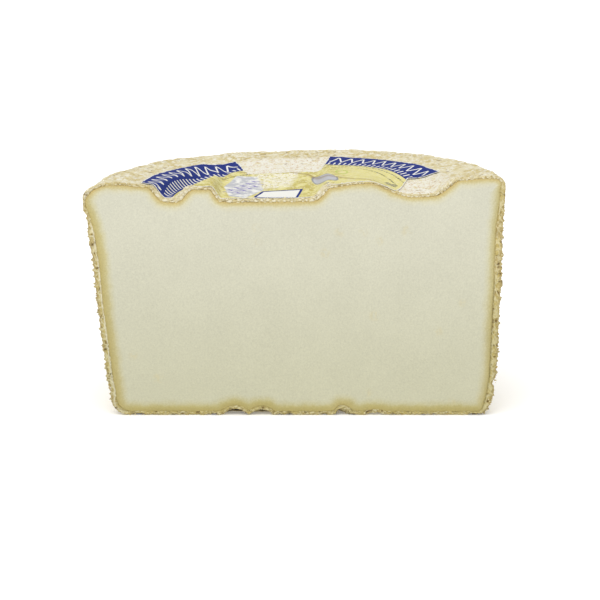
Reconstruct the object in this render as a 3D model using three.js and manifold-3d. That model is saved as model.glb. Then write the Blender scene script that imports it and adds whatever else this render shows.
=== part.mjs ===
// Half a wheel of pressed mountain cheese, cut down its middle, with a paper label on its top.
// Millimetres, +Z up. The cut face looks along -Y, and the wheel's axis stands in the cut plane.
// The origin is on the base, under the middle of the half wheel's box.
import * as THREE from "three";
import { mergeVertices } from "three/addons/utils/BufferGeometryUtils.js";
import Module from "manifold-3d";

// Wheel: the whole one is 237 mm across at its shoulder and 138 mm high at its axis.
const WHEEL_RADIUS = 118.5;
const HEIGHT = 138;
const TOP_TILT = 0.0194; // the top rises towards +X
const SHOULDER_HEIGHT = 125; // the flank has its full radius from here up
const LEAN = { right: 0.02, left: 0.094 }; // how far the flank draws in below the shoulder
const FLARE = { height: 1.1, at: 127, width: 5 }; // the left flank stands out under its upper edge
const TOP_EDGE = { right: { inset: 5, drop: 5.5 }, left: { inset: 14, drop: 9 } };
const TIGHTER_BEHIND = { share: 0.5, at: 0.3 }; // how far the left upper edge nears the right one behind the cut
const BASE_EDGE = { right: { inset: 9, rise: 20 }, left: { inset: 11.5, rise: 20 } };

// Top: a shallow hollow inside the rim, and dents that run back from the cut. A dent keeps its
// depth as far back as hold, is gone at reach, and drifts sideways by skew for each millimetre back.
// The last one is a low swelling.
const HOLLOW = { depth: 2.4, halfWidth: 100, reach: 100, flat: 0.7 };
const DENTS = [
  { from: -83, to: -59, walls: [9, 9], depth: 6.4, hold: 20, reach: 95, skew: 0.38 },
  { from: -47.5, to: 20, walls: [6, 9.5], depth: 7.1, hold: 5, reach: 95, skew: 0 },
  { from: 41, to: 93.5, walls: [26, 15], depth: 6.9, hold: 0, reach: 50, skew: -0.3 },
  { from: 22, to: 56, walls: [14, 14], depth: -1.2, hold: 0, reach: 60, skew: 0 },
];
const RIM = { at: 107, width: 6.5, height: 0.5 };

// Base: small hollows where the rind lifts off the table at the cut.
const BASE_HOLLOWS = [
  { at: -35, halfWidth: 8, height: 3.6, reach: 17, skew: 0.5 },
  { at: -19.5, halfWidth: 7, height: 3.3, reach: 13, skew: -0.3 },
  { at: 27.7, halfWidth: 4, height: 3.4, reach: 15, skew: -0.6 },
  { at: 46, halfWidth: 6, height: 1.3, reach: 10, skew: 0.4 },
];

// Rind relief: each entry is a lump size and how far it stands out.
const FLANK_LUMPS = [
  { size: 30, height: 1.5 },
  { size: 13, height: 1.3 },
];
const FLANK_INSET = 0.5; // the flank's mean surface lies this far inside its outline
const CALM = { share: 0.3, reach: 28 }; // the flank's lumps are weak at the cut and full from here back
const TOP_LUMPS = [
  { size: 26, height: 0.7 },
  { size: 12, height: 0.7 },
];
const SMOOTH_MIDDLE = { from: 84, to: 100 }; // the lumps are full outside this, and weak under the label
const LUMPS_UNDER_LABEL = 0.35;

// Label: a round of paper less three notches, which the knife has cut through with the cheese. Each
// notch is a list of corners, anticlockwise from above.
const LABEL_RADIUS = 87.5;
const NOTCHES = {
  right: [[50, -20], [130, -20], [130, 25], [65, 28.5], [56, 0]],
  back: [[-28, 54.5], [15, 57.5], [26, 110], [-46, 110]],
  left: [[-120, -4], [-70, -4], [-73, 1.5], [-80, 5], [-89, 6.5], [-120, 6.5]],
};
const LABEL_GAP = 0.3; // clear of the rind
const LABEL_THICKNESS = 0.45;

// Facets
const ACROSS = 60; // along the cut edge
const DEEP = 17; // from the cut to the back
const ROUNDING_STEPS = 4; // up each rounded edge
const WALL_STEPS = 12; // up the flank between them
const ROUND_STEPS = 120; // round the label's circle
const STEPS_UP = WALL_STEPS + 2 * ROUNDING_STEPS;

const { lerp, smoothstep } = THREE.MathUtils;

// A repeatable random value from -1 to 1 for a corner of a cubic lattice.
function latticeValue(i, j, k) {
  let h = Math.imul(i, 374761393) ^ Math.imul(j, 668265263) ^ Math.imul(k, 1274126177);
  h = Math.imul(h ^ (h >>> 13), 1274126177);
  return ((h ^ (h >>> 16)) >>> 0) / 2147483647.5 - 1;
}

// Smooth noise from -1 to 1: lattice values blended across the cell that holds the point.
function smoothNoise(x, y, z) {
  const cell = [x, y, z].map(Math.floor);
  const [fx, fy, fz] = [x, y, z].map((c, n) => smoothstep(c - cell[n], 0, 1));
  const corner = (i, j, k) => latticeValue(cell[0] + i, cell[1] + j, cell[2] + k);
  const row = (j, k) => lerp(corner(0, j, k), corner(1, j, k), fx);
  const layer = (k) => lerp(row(0, k), row(1, k), fy);
  return lerp(layer(0), layer(1), fz);
}

function lumps(list, x, y, z) {
  return list.reduce((sum, { size, height }) => sum + height * smoothNoise(x / size, y / size, z / size), 0);
}

// 1 between two ends with sloping walls inside them, 0 outside.
function plateau(t, from, to, [wallIn, wallOut]) {
  return smoothstep(t, from, from + wallIn) - smoothstep(t, to - wallOut, to);
}

function bell(t, centre, width) {
  return Math.exp(-(((t - centre) / width) ** 2));
}

// Height of the top above the tilted plane.
function topShape(x, y) {
  const r = Math.hypot(x, y);
  const fromMiddle = Math.hypot(x / HOLLOW.halfWidth, y / HOLLOW.reach);
  let height = -HOLLOW.depth * (1 - smoothstep(fromMiddle, HOLLOW.flat, 1));
  height += RIM.height * bell(r, RIM.at, RIM.width);
  for (const { from, to, walls, depth, hold, reach, skew } of DENTS) {
    height -= depth * plateau(x - skew * y, from, to, walls) * (1 - smoothstep(y, hold, reach));
  }
  return height;
}

// Height of the base's underside, 0 where it rests.
function baseShape(x, y) {
  return BASE_HOLLOWS.reduce((height, { at, halfWidth, height: rise, reach, skew }) => {
    const across = (x - at - skew * y) / halfWidth;
    const along = y / reach;
    return height + rise * Math.max(0, 1 - across ** 2) * Math.max(0, 1 - along ** 2);
  }, 0);
}

// 0 on the right of the wheel, 1 on its left.
function leftShare(angle) {
  return (1 - Math.cos(angle)) / 2;
}

// How much of the left end's upper edge there is: less behind the cut than at it.
function topEdgeShare(angle) {
  return leftShare(angle) * (1 - TIGHTER_BEHIND.share * smoothstep(Math.sin(angle), 0, TIGHTER_BEHIND.at));
}

// The flank's outline, with both edges rounded as quarter ellipses: how far up (0 to HEIGHT), how
// far in from the leaning wall, and how much of a lump's height goes outwards and upwards there.
function flankProfile(up, angle) {
  const step = up * STEPS_UP;
  const rise = lerp(BASE_EDGE.right.rise, BASE_EDGE.left.rise, leftShare(angle));
  const drop = lerp(TOP_EDGE.right.drop, TOP_EDGE.left.drop, topEdgeShare(angle));
  if (step < ROUNDING_STEPS) {
    const turn = ((step / ROUNDING_STEPS) * Math.PI) / 2;
    const inset = lerp(BASE_EDGE.right.inset, BASE_EDGE.left.inset, leftShare(angle));
    return {
      z: rise * (1 - Math.cos(turn)),
      inset: inset * (1 - Math.sin(turn)),
      out: Math.sin(turn),
      rise: 0,
    };
  }
  if (step > STEPS_UP - ROUNDING_STEPS) {
    const turn = ((step - STEPS_UP + ROUNDING_STEPS) / ROUNDING_STEPS) * (Math.PI / 2);
    const inset = lerp(TOP_EDGE.right.inset, TOP_EDGE.left.inset, topEdgeShare(angle));
    return {
      z: HEIGHT - drop * (1 - Math.sin(turn)),
      inset: inset * (1 - Math.cos(turn)),
      out: Math.cos(turn),
      rise: Math.sin(turn),
    };
  }
  const share = (step - ROUNDING_STEPS) / WALL_STEPS;
  return { z: lerp(rise, HEIGHT - drop, share), inset: 0, out: 1, rise: 0 };
}

function flankRadius(angle, z) {
  const left = leftShare(angle);
  const flare = FLARE.height * left * bell(z, FLARE.at, FLARE.width);
  return WHEEL_RADIUS + flare - lerp(LEAN.right, LEAN.left, left) * Math.max(0, SHOULDER_HEIGHT - z);
}

// A point of the cheese from a point of a block: across -1 to 1, deep 0 to 1 and up 0 to 1.
// The block's plan becomes a half disc, and its height the profile of the flank.
function cheesePoint(across, deep, up, target) {
  const planX = across * Math.sqrt(1 - deep ** 2 / 2);
  const planY = deep * Math.sqrt(1 - across ** 2 / 2);
  const share = Math.hypot(planX, planY);
  const angle = Math.atan2(planY, planX);
  const profile = flankProfile(up, angle);
  const reach = share * (flankRadius(angle, profile.z) - profile.inset);
  let x = reach * Math.cos(angle);
  let y = deep === 0 ? 0 : reach * Math.sin(angle);
  const top = HEIGHT + TOP_TILT * x + topShape(x, y);
  const base = baseShape(x, y);
  let z = base + ((top - base) * profile.z) / HEIGHT;
  const edgeShare = Math.max(LUMPS_UNDER_LABEL, smoothstep(reach, SMOOTH_MIDDLE.from, SMOOTH_MIDDLE.to));
  const calm = lerp(CALM.share, 1, smoothstep(y, 0, CALM.reach));
  const outwards = profile.out * share * calm * (lumps(FLANK_LUMPS, x, y, z) - FLANK_INSET);
  z += profile.rise * edgeShare * lumps(TOP_LUMPS, x, y, z);
  x += outwards * Math.cos(angle);
  y += deep === 0 ? 0 : outwards * Math.sin(angle);
  return target.set(x, y, z);
}

// Drops normals and UVs and welds what meets, so that the faces form one closed surface.
function weld(geometry) {
  geometry.deleteAttribute("normal");
  geometry.deleteAttribute("uv");
  geometry.clearGroups();
  return mergeVertices(geometry, 1e-3);
}

// The cut face: the outline along the front of the cheese, filled flat.
function cutFace() {
  const corners = [];
  const point = new THREE.Vector3();
  const add = (across, up) => {
    cheesePoint(across, 0, up, point);
    corners.push(new THREE.Vector2(point.x, point.z));
  };
  for (let n = 0; n < ACROSS; n++) add(-1 + (2 * n) / ACROSS, 0);
  for (let n = 0; n < STEPS_UP; n++) add(1, n / STEPS_UP);
  for (let n = 0; n < ACROSS; n++) add(1 - (2 * n) / ACROSS, 1);
  for (let n = 0; n < STEPS_UP; n++) add(-1, 1 - n / STEPS_UP);
  const triangles = THREE.ShapeUtils.triangulateShape(corners, []).flat();
  return triangles.flatMap((n) => [corners[n].x, 0, corners[n].y]);
}

// The rind side of the cheese is a bent block without its front, and the cut face closes it.
function cheeseGeometry() {
  const block = new THREE.BoxGeometry(2, 1, 1, ACROSS, DEEP, STEPS_UP);
  const front = block.groups[3];
  const kept = [...block.index.array];
  kept.splice(front.start, front.count);
  const place = block.attributes.position;
  const point = new THREE.Vector3();
  const skin = kept.flatMap((n) =>
    cheesePoint(place.getX(n), place.getY(n) + 0.5, place.getZ(n) + 0.5, point).toArray(),
  );
  const geometry = new THREE.BufferGeometry();
  geometry.setAttribute("position", new THREE.Float32BufferAttribute([...skin, ...cutFace()], 3));
  return mergeVertices(geometry, 1e-3);
}

const wasm = await Module();
wasm.setup();

function toSolid(geometry) {
  return new wasm.Manifold(
    new wasm.Mesh({
      numProp: 3,
      vertProperties: geometry.attributes.position.array,
      triVerts: new Uint32Array(geometry.index.array),
    }),
  );
}

function toGeometry(solid) {
  const { numProp, numVert, vertProperties, triVerts } = solid.getMesh();
  const positions = new Float32Array(numVert * 3);
  for (let n = 0; n < numVert; n++) {
    positions.set(vertProperties.subarray(n * numProp, n * numProp + 3), n * 3);
  }
  const geometry = new THREE.BufferGeometry();
  geometry.setAttribute("position", new THREE.BufferAttribute(positions, 3));
  geometry.setIndex(new THREE.BufferAttribute(triVerts, 1));
  return geometry;
}

// The cheese lifted straight up, whose top has the same facets as the cheese itself.
function liftedCheese(geometry, lift) {
  return toSolid(geometry.clone().translate(0, 0, lift));
}

// An upright column through the top of the cheese.
function column(corners) {
  const shape = new THREE.Shape(corners.map(([x, y]) => new THREE.Vector2(x, y)));
  const walls = new THREE.ExtrudeGeometry(shape, { depth: HEIGHT, steps: 1, bevelEnabled: false });
  return toSolid(weld(walls.translate(0, 0, HEIGHT / 2)));
}

function circle(radius, steps) {
  return Array.from({ length: steps }, (_, n) => {
    const angle = (2 * Math.PI * n) / steps;
    return [radius * Math.cos(angle), radius * Math.sin(angle)];
  });
}

// The label is what lies between two lifted copies of the top, inside a column less its notches.
function labelGeometry(cheeseBody) {
  const upper = liftedCheese(cheeseBody, LABEL_GAP + LABEL_THICKNESS);
  const layer = upper.subtract(liftedCheese(cheeseBody, LABEL_GAP));
  const stamp = Object.values(NOTCHES).reduce(
    (rest, corners) => rest.subtract(column(corners)),
    column(circle(LABEL_RADIUS, ROUND_STEPS)),
  );
  return toGeometry(layer.intersect(stamp));
}

const body = cheeseGeometry();
const cheese = new THREE.Mesh(
  body,
  new THREE.MeshStandardMaterial({ color: 0xdcd7b4, roughness: 0.75, metalness: 0 }),
);
cheese.name = "cheese";

const label = new THREE.Mesh(
  labelGeometry(body),
  new THREE.MeshStandardMaterial({ color: 0xe6dfa0, roughness: 0.6, metalness: 0 }),
);
label.name = "paper_label";

// The group stands with the middle of the cheese's box over the origin.
const halfWheel = new THREE.Group();
halfWheel.add(cheese, label);
body.computeBoundingBox();
const middle = body.boundingBox.getCenter(new THREE.Vector3());
halfWheel.position.set(-middle.x, -middle.y, -body.boundingBox.min.z);

export default halfWheel;
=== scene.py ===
"""Half a wheel of pressed mountain cheese with a paper label, dressed for rendering."""

import bpy
import numpy as np
from bpy.props import FloatProperty, FloatVectorProperty, IntProperty, PointerProperty
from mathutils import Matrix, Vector


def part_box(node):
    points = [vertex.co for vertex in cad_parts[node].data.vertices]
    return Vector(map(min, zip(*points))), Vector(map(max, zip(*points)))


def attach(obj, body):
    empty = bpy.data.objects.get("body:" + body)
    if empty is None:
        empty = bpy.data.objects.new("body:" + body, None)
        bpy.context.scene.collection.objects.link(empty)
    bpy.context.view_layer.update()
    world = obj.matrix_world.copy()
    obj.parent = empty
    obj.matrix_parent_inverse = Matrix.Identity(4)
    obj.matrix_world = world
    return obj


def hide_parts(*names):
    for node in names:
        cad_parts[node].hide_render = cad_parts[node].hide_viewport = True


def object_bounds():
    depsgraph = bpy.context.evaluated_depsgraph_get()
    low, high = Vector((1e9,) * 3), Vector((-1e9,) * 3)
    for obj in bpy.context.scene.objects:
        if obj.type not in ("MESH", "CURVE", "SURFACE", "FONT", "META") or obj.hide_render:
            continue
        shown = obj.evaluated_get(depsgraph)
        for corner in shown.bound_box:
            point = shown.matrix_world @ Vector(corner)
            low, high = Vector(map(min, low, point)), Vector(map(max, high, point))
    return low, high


bl_info = {
    "name": "Half wheel of cheese",
    "version": (1, 0, 0),
    "blender": (4, 5, 0),
    "location": "View3D > Sidebar > Cheese",
    "description": "Rind, cut face, crumbs and paper label of half a wheel of cheese",
    "category": "Object",
}

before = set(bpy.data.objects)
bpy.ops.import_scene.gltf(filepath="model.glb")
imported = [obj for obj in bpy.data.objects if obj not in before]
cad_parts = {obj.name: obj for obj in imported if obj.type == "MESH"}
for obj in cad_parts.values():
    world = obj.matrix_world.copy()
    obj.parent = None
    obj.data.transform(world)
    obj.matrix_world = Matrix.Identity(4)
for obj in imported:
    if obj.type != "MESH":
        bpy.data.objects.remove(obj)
CAD_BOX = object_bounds()

# Lengths below are in millimetres on the wheel: X to the right, Y back from the cut, Z up.
MM = 0.001
AXIS_X = 0.6516  # the wheel's axis in the row frame
CUT_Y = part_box("cheese")[0].y / MM

# The wheel's form, as in the solid
TOP_TILT = 0.0194
SHOULDER_HEIGHT = 125
LEAN = (0.02, 0.094)  # right, left
FLARE = {"height": 1.1, "at": 127, "width": 5}
TOP_INSET = (5, 14)
TOP_DROP = (5.5, 9)
TIGHTER_BEHIND = (0.5, 0.3)  # share of the left upper edge lost behind the cut, at which sine
BASE_INSET = (9, 11.5)
BASE_RISE = 20
HOLLOW = {"depth": 2.4, "half_width": 100, "reach": 100, "flat": 0.7}
# Dents: start, end, widths of the two walls, depth, where they start to fade and end, skew
DENTS = [
    (-83, -59, (9, 9), 6.4, 20, 95, 0.38),
    (-47.5, 20, (6, 9.5), 7.1, 5, 95, 0),
    (41, 93.5, (26, 15), 6.9, 0, 50, -0.3),
    (22, 56, (14, 14), -1.2, 0, 60, 0),
]
RIM = {"at": 107, "width": 6.5, "height": 0.5}
# Hollows under the base: place, half width, height, reach, skew
BASE_HOLLOWS = [
    (-35, 8, 3.6, 7, 0.5),
    (-19.5, 7, 3.3, 6, -0.3),
    (27.7, 4, 3.4, 6, -0.6),
    (46, 6, 1.3, 5, 0.4),
]
FLANK_LUMPS = [(30, 1.5), (13, 1.3)]  # size, height
TOP_LUMPS = [(26, 0.7), (12, 0.7)]
FLANK_INSET = 0.5
CALM_SHARE = 0.3
CALM_REACH = 28
SMOOTH_MIDDLE = (84, 100)
LUMPS_UNDER_LABEL = 0.35
ROUNDING = 0.2  # share of the profile's steps in each rounded edge
NOTCHES = [  # corners, anticlockwise from above
    [(50, -20), (130, -20), (130, 25), (65, 28.5), (56, 0)],
    [(-28, 54.5), (15, 57.5), (26, 110), (-46, 110)],
    [(-120, -4), (-70, -4), (-73, 1.5), (-80, 5), (-89, 6.5), (-120, 6.5)],
]

# Cells of the rind's mesh: across, back from the cut, up
RIND_CELLS = (200, 96, 130)
FACE_CELLS = (330, 190)  # across and up the cut face
FACE_THICKNESS = 2.4  # the rind starts this far behind the cut
FACE_LAP, FACE_TAPER = 1.2, 1.5  # how far its back reaches into the rind and is drawn inwards
CRAG_SIZE = 6.5
PIT_SPACING = 5.2
FLOURY_MIDDLE = (84, 92)  # the bloom between the label's lobes fades out over these radii
LIFT_FADE = (4, 13)  # the rind's lift off the floor fades out over this distance from the cut
ROOF_LEVEL = 6  # roofs of the base hollows lie below this height
BATCH = 4000
# The strip of rind in section: its cells, its front rows, how far it laps over the paste and how
# round its edge is, then its rows behind the cut as (how far back, how far below the rind)
EDGE_SPACING = 0.42
EDGE_ROWS = 15
EDGE_OVERLAP = 0.7
EDGE_ROUND = 0.8
EDGE_BACKS = [(2.0, 0), (2.4, 0), (2.9, 0), (3.5, 0.1), (4.2, 0.3), (5.0, 0.9), (6.0, 2.2)]
UNDER_STRIP = {"depth": 1.5, "fade": 4}  # how far the rind's front is sunk, and over what length
NICK = (19.5, 2.0)  # height and half width of the nick in the right side
# The outline of the cut: points to measure it with, stretches for its normals, and its foot
OUTLINE_ACROSS, OUTLINE_UP = 1600, 1200
NORMAL_REACH, SIDE_REACH = 1.6, 6
FOOT_ACROSS, FOOT_UP = (96, 103), (5, 16)
# Width of the rind in section
WIDTHS = {"right": 4.1, "right_top": 3.0, "left": 3.4, "left_top": 1.3, "base": 2.3, "foot": 1.3}
FOOT_SHADE = (0.86, 0.88, 0.87, 1)  # painted shade, linear, so the section is about 7 per cent darker at its foot
# Width of the rind in section along the top of the cut: places across and widths
TOP_WIDTHS = (
    (-113, -90, -80, -70, -62, -56, -43, -38, 17, 27, 56, 80, 90, 113),
    (1.2, 1.1, 1.3, 2.6, 2.6, 1.8, 1.8, 2.3, 2.2, 1.2, 1.1, 1.4, 1.2, 0.9),
)
LABEL_CELL = 0.6
LABEL_LUMPS = [(9, 0.12), (3.6, 0.08), (1.7, 0.03)]
CREASE = [(-32, 57), (-5, 57), (8, 50), (20, 24), (34, 7), (52, 2)]  # where the paper folds
SHADE = 255
WHITE = (1, 1, 1, 1)
# The stage: half the floor's width, the sun, then the camera with its aim across and up
HALF_FLOOR = 40.0  # metres
FLOOR = (251, 251, 251)
SUN_TOWARDS = (0.22, 0.62, -1.9)
SUN_ANGLE = 50  # degrees
AIM = (2.7, 69.1)
ELEVATION = 13.93  # degrees
DISTANCE = 1.0  # metres
LENS = 105
SENSOR = 36


def paint(red, green, blue):
    """Linear colour with full alpha from screen values of 0 to 255."""
    share = np.array([red, green, blue]) / SHADE
    linear = np.where(share > 0.04045, ((share + 0.055) / 1.055) ** 2.4, share / 12.92)
    return (*[float(value) for value in linear], 1.0)


def smoothstep(t, start, end):
    """Eases from 0 at start to 1 at end."""
    share = np.clip((t - start) / (end - start), 0, 1)
    return share * share * (3 - 2 * share)


def blend(first, second, share):
    """First at share 0, second at share 1."""
    return first + (second - first) * share


def bell(t, centre, width):
    """1 at the centre, falling off as a Gaussian of that width."""
    return np.exp(-(((t - centre) / width) ** 2))


def lattice_value(i, j, k):
    """Repeatable value from -1 to 1 for a lattice corner: three products mixed on 32 bits."""
    i, j, k = (np.asarray(n).astype(np.int64).astype(np.uint32) for n in (i, j, k))
    mixed = i * np.uint32(374761393) ^ j * np.uint32(668265263) ^ k * np.uint32(1274126177)
    mixed = (mixed ^ (mixed >> np.uint32(13))) * np.uint32(1274126177)
    return (mixed ^ (mixed >> np.uint32(16))).astype(float) / 2147483647.5 - 1


def smooth_noise(x, y, z):
    """Lattice values blended with an eased share across the cell that holds the point, -1 to 1."""
    x, y, z = np.broadcast_arrays(x, y, z)
    cell = [np.floor(c) for c in (x, y, z)]
    fx, fy, fz = [smoothstep(c - low, 0, 1) for c, low in zip((x, y, z), cell)]

    def row(j, k):
        near = lattice_value(cell[0], cell[1] + j, cell[2] + k)
        far = lattice_value(cell[0] + 1, cell[1] + j, cell[2] + k)
        return blend(near, far, fx)

    return blend(blend(row(0, 0), row(1, 0), fy), blend(row(0, 1), row(1, 1), fy), fz)


def lumps(table, x, y, z):
    """Sum of smooth noises, each of its own size and height."""
    return sum(height * smooth_noise(x / size, y / size, z / size) for size, height in table)


def crags(x, y, z, size):
    """Distances to the nearest and second nearest of one random point per cell, in cells."""
    x, y, z = x / size, y / size, z / size
    cell = [np.floor(c) for c in (x, y, z)]
    nearest, second = np.full((2, *x.shape), 9.0)
    for step in np.ndindex(3, 3, 3):
        i, j, k = (low + offset - 1 for low, offset in zip(cell, step))
        px = i + 0.5 + 0.45 * lattice_value(i + 71, j, k)
        py = j + 0.5 + 0.45 * lattice_value(i, j + 57, k)
        pz = k + 0.5 + 0.45 * lattice_value(i, j, k + 93)
        gap = np.sqrt((px - x) ** 2 + (py - y) ** 2 + (pz - z) ** 2)
        second = np.minimum(second, np.maximum(gap, nearest))
        nearest = np.minimum(nearest, gap)
    return nearest, second


def top_shape(x, y):
    """Height above the tilted plane: a shallow hollow, a raised rim and dents that fade away."""
    from_middle = np.hypot(x / HOLLOW["half_width"], y / HOLLOW["reach"])
    height = -HOLLOW["depth"] * (1 - smoothstep(from_middle, HOLLOW["flat"], 1))
    height = height + RIM["height"] * bell(np.hypot(x, y), RIM["at"], RIM["width"])
    for start, end, walls, depth, hold, reach, skew in DENTS:
        place = x - skew * y
        inside = smoothstep(place, start, start + walls[0]) - smoothstep(place, end - walls[1], end)
        height = height - depth * inside * (1 - smoothstep(y, hold, reach))
    return height


def base_shape(x, y):
    """Height of the underside: small parabolic hollows at the cut."""
    height = np.zeros(np.broadcast(x, y).shape)
    for at, half_width, high, reach, skew in BASE_HOLLOWS:
        across, along = (x - at - skew * y) / half_width, y / reach
        height += high * np.maximum(0, 1 - across**2) * np.maximum(0, 1 - along**2)
    return height


def flank_profile(up, left, behind, height):
    """Height, inset, and shares of a lump that go out and up, along a wall with elliptic edges."""
    base_turn = np.clip(up / ROUNDING, 0, 1) * np.pi / 2
    top_turn = np.clip((up - 1) / ROUNDING + 1, 0, 1) * np.pi / 2
    edge = left * (1 - TIGHTER_BEHIND[0] * smoothstep(behind, 0, TIGHTER_BEHIND[1]))
    drop = blend(*TOP_DROP, edge)
    foot = up < ROUNDING
    shoulder = up > 1 - ROUNDING
    wall = blend(BASE_RISE, height - drop, (up - ROUNDING) / (1 - 2 * ROUNDING))
    z = np.where(foot, BASE_RISE * (1 - np.cos(base_turn)), wall)
    z = np.where(shoulder, height - drop * (1 - np.sin(top_turn)), z)
    inset = np.where(foot, blend(*BASE_INSET, left) * (1 - np.sin(base_turn)), 0)
    inset = np.where(shoulder, blend(*TOP_INSET, edge) * (1 - np.cos(top_turn)), inset)
    out = np.where(foot, np.sin(base_turn), np.where(shoulder, np.cos(top_turn), 1))
    return z, inset, out, np.where(shoulder, np.sin(top_turn), 0)


def top_lumps(x, y, z, reach):
    """Lumps of the top, full outside the middle and weak under the label."""
    share = np.maximum(LUMPS_UNDER_LABEL, smoothstep(reach, *SMOOTH_MIDDLE))
    return share * lumps(TOP_LUMPS, x, y, z)


def cheese_point(wheel, across, deep, up):
    """A block's point (across -1 to 1, deep 0 to 1, up 0 to 1) carried onto the half wheel.

    The plan goes from a square to a half disc, and the height follows the flank's profile.
    """
    radius, height = wheel.radius / MM, wheel.height / MM
    plan_x = across * np.sqrt(1 - deep**2 / 2)
    plan_y = deep * np.sqrt(1 - across**2 / 2)
    share = np.hypot(plan_x, plan_y)
    angle = np.arctan2(plan_y, plan_x)
    left = (1 - np.cos(angle)) / 2
    level, inset, out, lift = flank_profile(up, left, np.sin(angle), height)
    wall = radius + FLARE["height"] * left * bell(level, FLARE["at"], FLARE["width"])
    wall = wall - blend(*LEAN, left) * np.maximum(0, SHOULDER_HEIGHT - level)
    reach = share * (wall - inset)
    x, y = reach * np.cos(angle), reach * np.sin(angle)
    top = height + TOP_TILT * x + top_shape(x, y)
    base = base_shape(x, y)
    z = base + (top - base) * level / height
    calm = blend(CALM_SHARE, 1, smoothstep(y, 0, CALM_REACH))
    outwards = out * share * calm * (lumps(FLANK_LUMPS, x, y, z) - FLANK_INSET)
    z = z + lift * top_lumps(x, y, z, reach)
    return np.stack([x + outwards * np.cos(angle), y + outwards * np.sin(angle), z], -1)


def top_height(wheel, x, y):
    """Height of the top's rind under the label."""
    z = wheel.height / MM + TOP_TILT * x + top_shape(x, y)
    return z + top_lumps(x, y, z, np.hypot(x, y))


def even_ups(wheel, count):
    """Profile shares whose points are evenly spaced along the flank's outline."""
    up = np.linspace(0, 1, 2001)
    z, inset, _, _ = flank_profile(up, 0.5, 0, wheel.height / MM)
    length = np.concatenate([[0], np.cumsum(np.hypot(np.diff(z), np.diff(inset)))])
    return np.interp(np.linspace(0, length[-1], count + 1), length, up)


def depth_share(wheel, across, back):
    """The block's deep share that lies this many millimetres behind the cut."""
    return back / (wheel.radius / MM) / np.sqrt(1 - across**2 / 2)


def to_frame(points):
    """Millimetres on the wheel as metres in the row frame, kept inside the cheese's box."""
    moved = (points + [AXIS_X, CUT_Y, 0]) * MM
    low, high = (np.array(corner) for corner in CAD_BOX)
    return np.clip(moved, low + 1e-5, high - 1e-5)


def grid_quads(rows, columns):
    """Corner numbers of each cell of a grid whose points are numbered row by row."""
    r, c = np.meshgrid(np.arange(rows - 1), np.arange(columns - 1), indexing="ij")
    first = (r * columns + c).ravel()
    return np.stack([first, first + 1, first + columns + 1, first + columns], 1)


def vertex_normals(points, quads):
    """Unit sums of the cross products of the diagonals of the quads round each point."""
    corner = points[quads]
    normal = np.cross(corner[:, 2] - corner[:, 0], corner[:, 3] - corner[:, 1])
    sums = [np.bincount(quads.ravel(), np.repeat(normal[:, n], 4), len(points)) for n in range(3)]
    total = np.stack(sums, 1)
    return total / np.maximum(np.linalg.norm(total, axis=1, keepdims=True), 1e-9)


def add_object(name, data):
    """A new object at the origin, linked to the scene."""
    item = bpy.data.objects.new(name, data)
    bpy.context.scene.collection.objects.link(item)
    return item


def make_piece(name, points, faces, material, attributes):
    """A smooth mesh at the origin from millimetre points, with attributes, riding on the body."""
    mesh = bpy.data.meshes.new(name)
    mesh.from_pydata(to_frame(points), [], faces)
    mesh.polygons.foreach_set("use_smooth", np.full(len(mesh.polygons), True))
    for title, values in attributes.items():
        kind, field = ("FLOAT", "value") if values.ndim == 1 else ("FLOAT_COLOR", "color")
        layer = mesh.attributes.new(title, kind, "POINT")
        layer.data.foreach_set(field, values.astype(np.float32).ravel())
    mesh.materials.append(material)
    mesh.update()
    piece = add_object(name, mesh)
    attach(piece, "root")
    return piece


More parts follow.
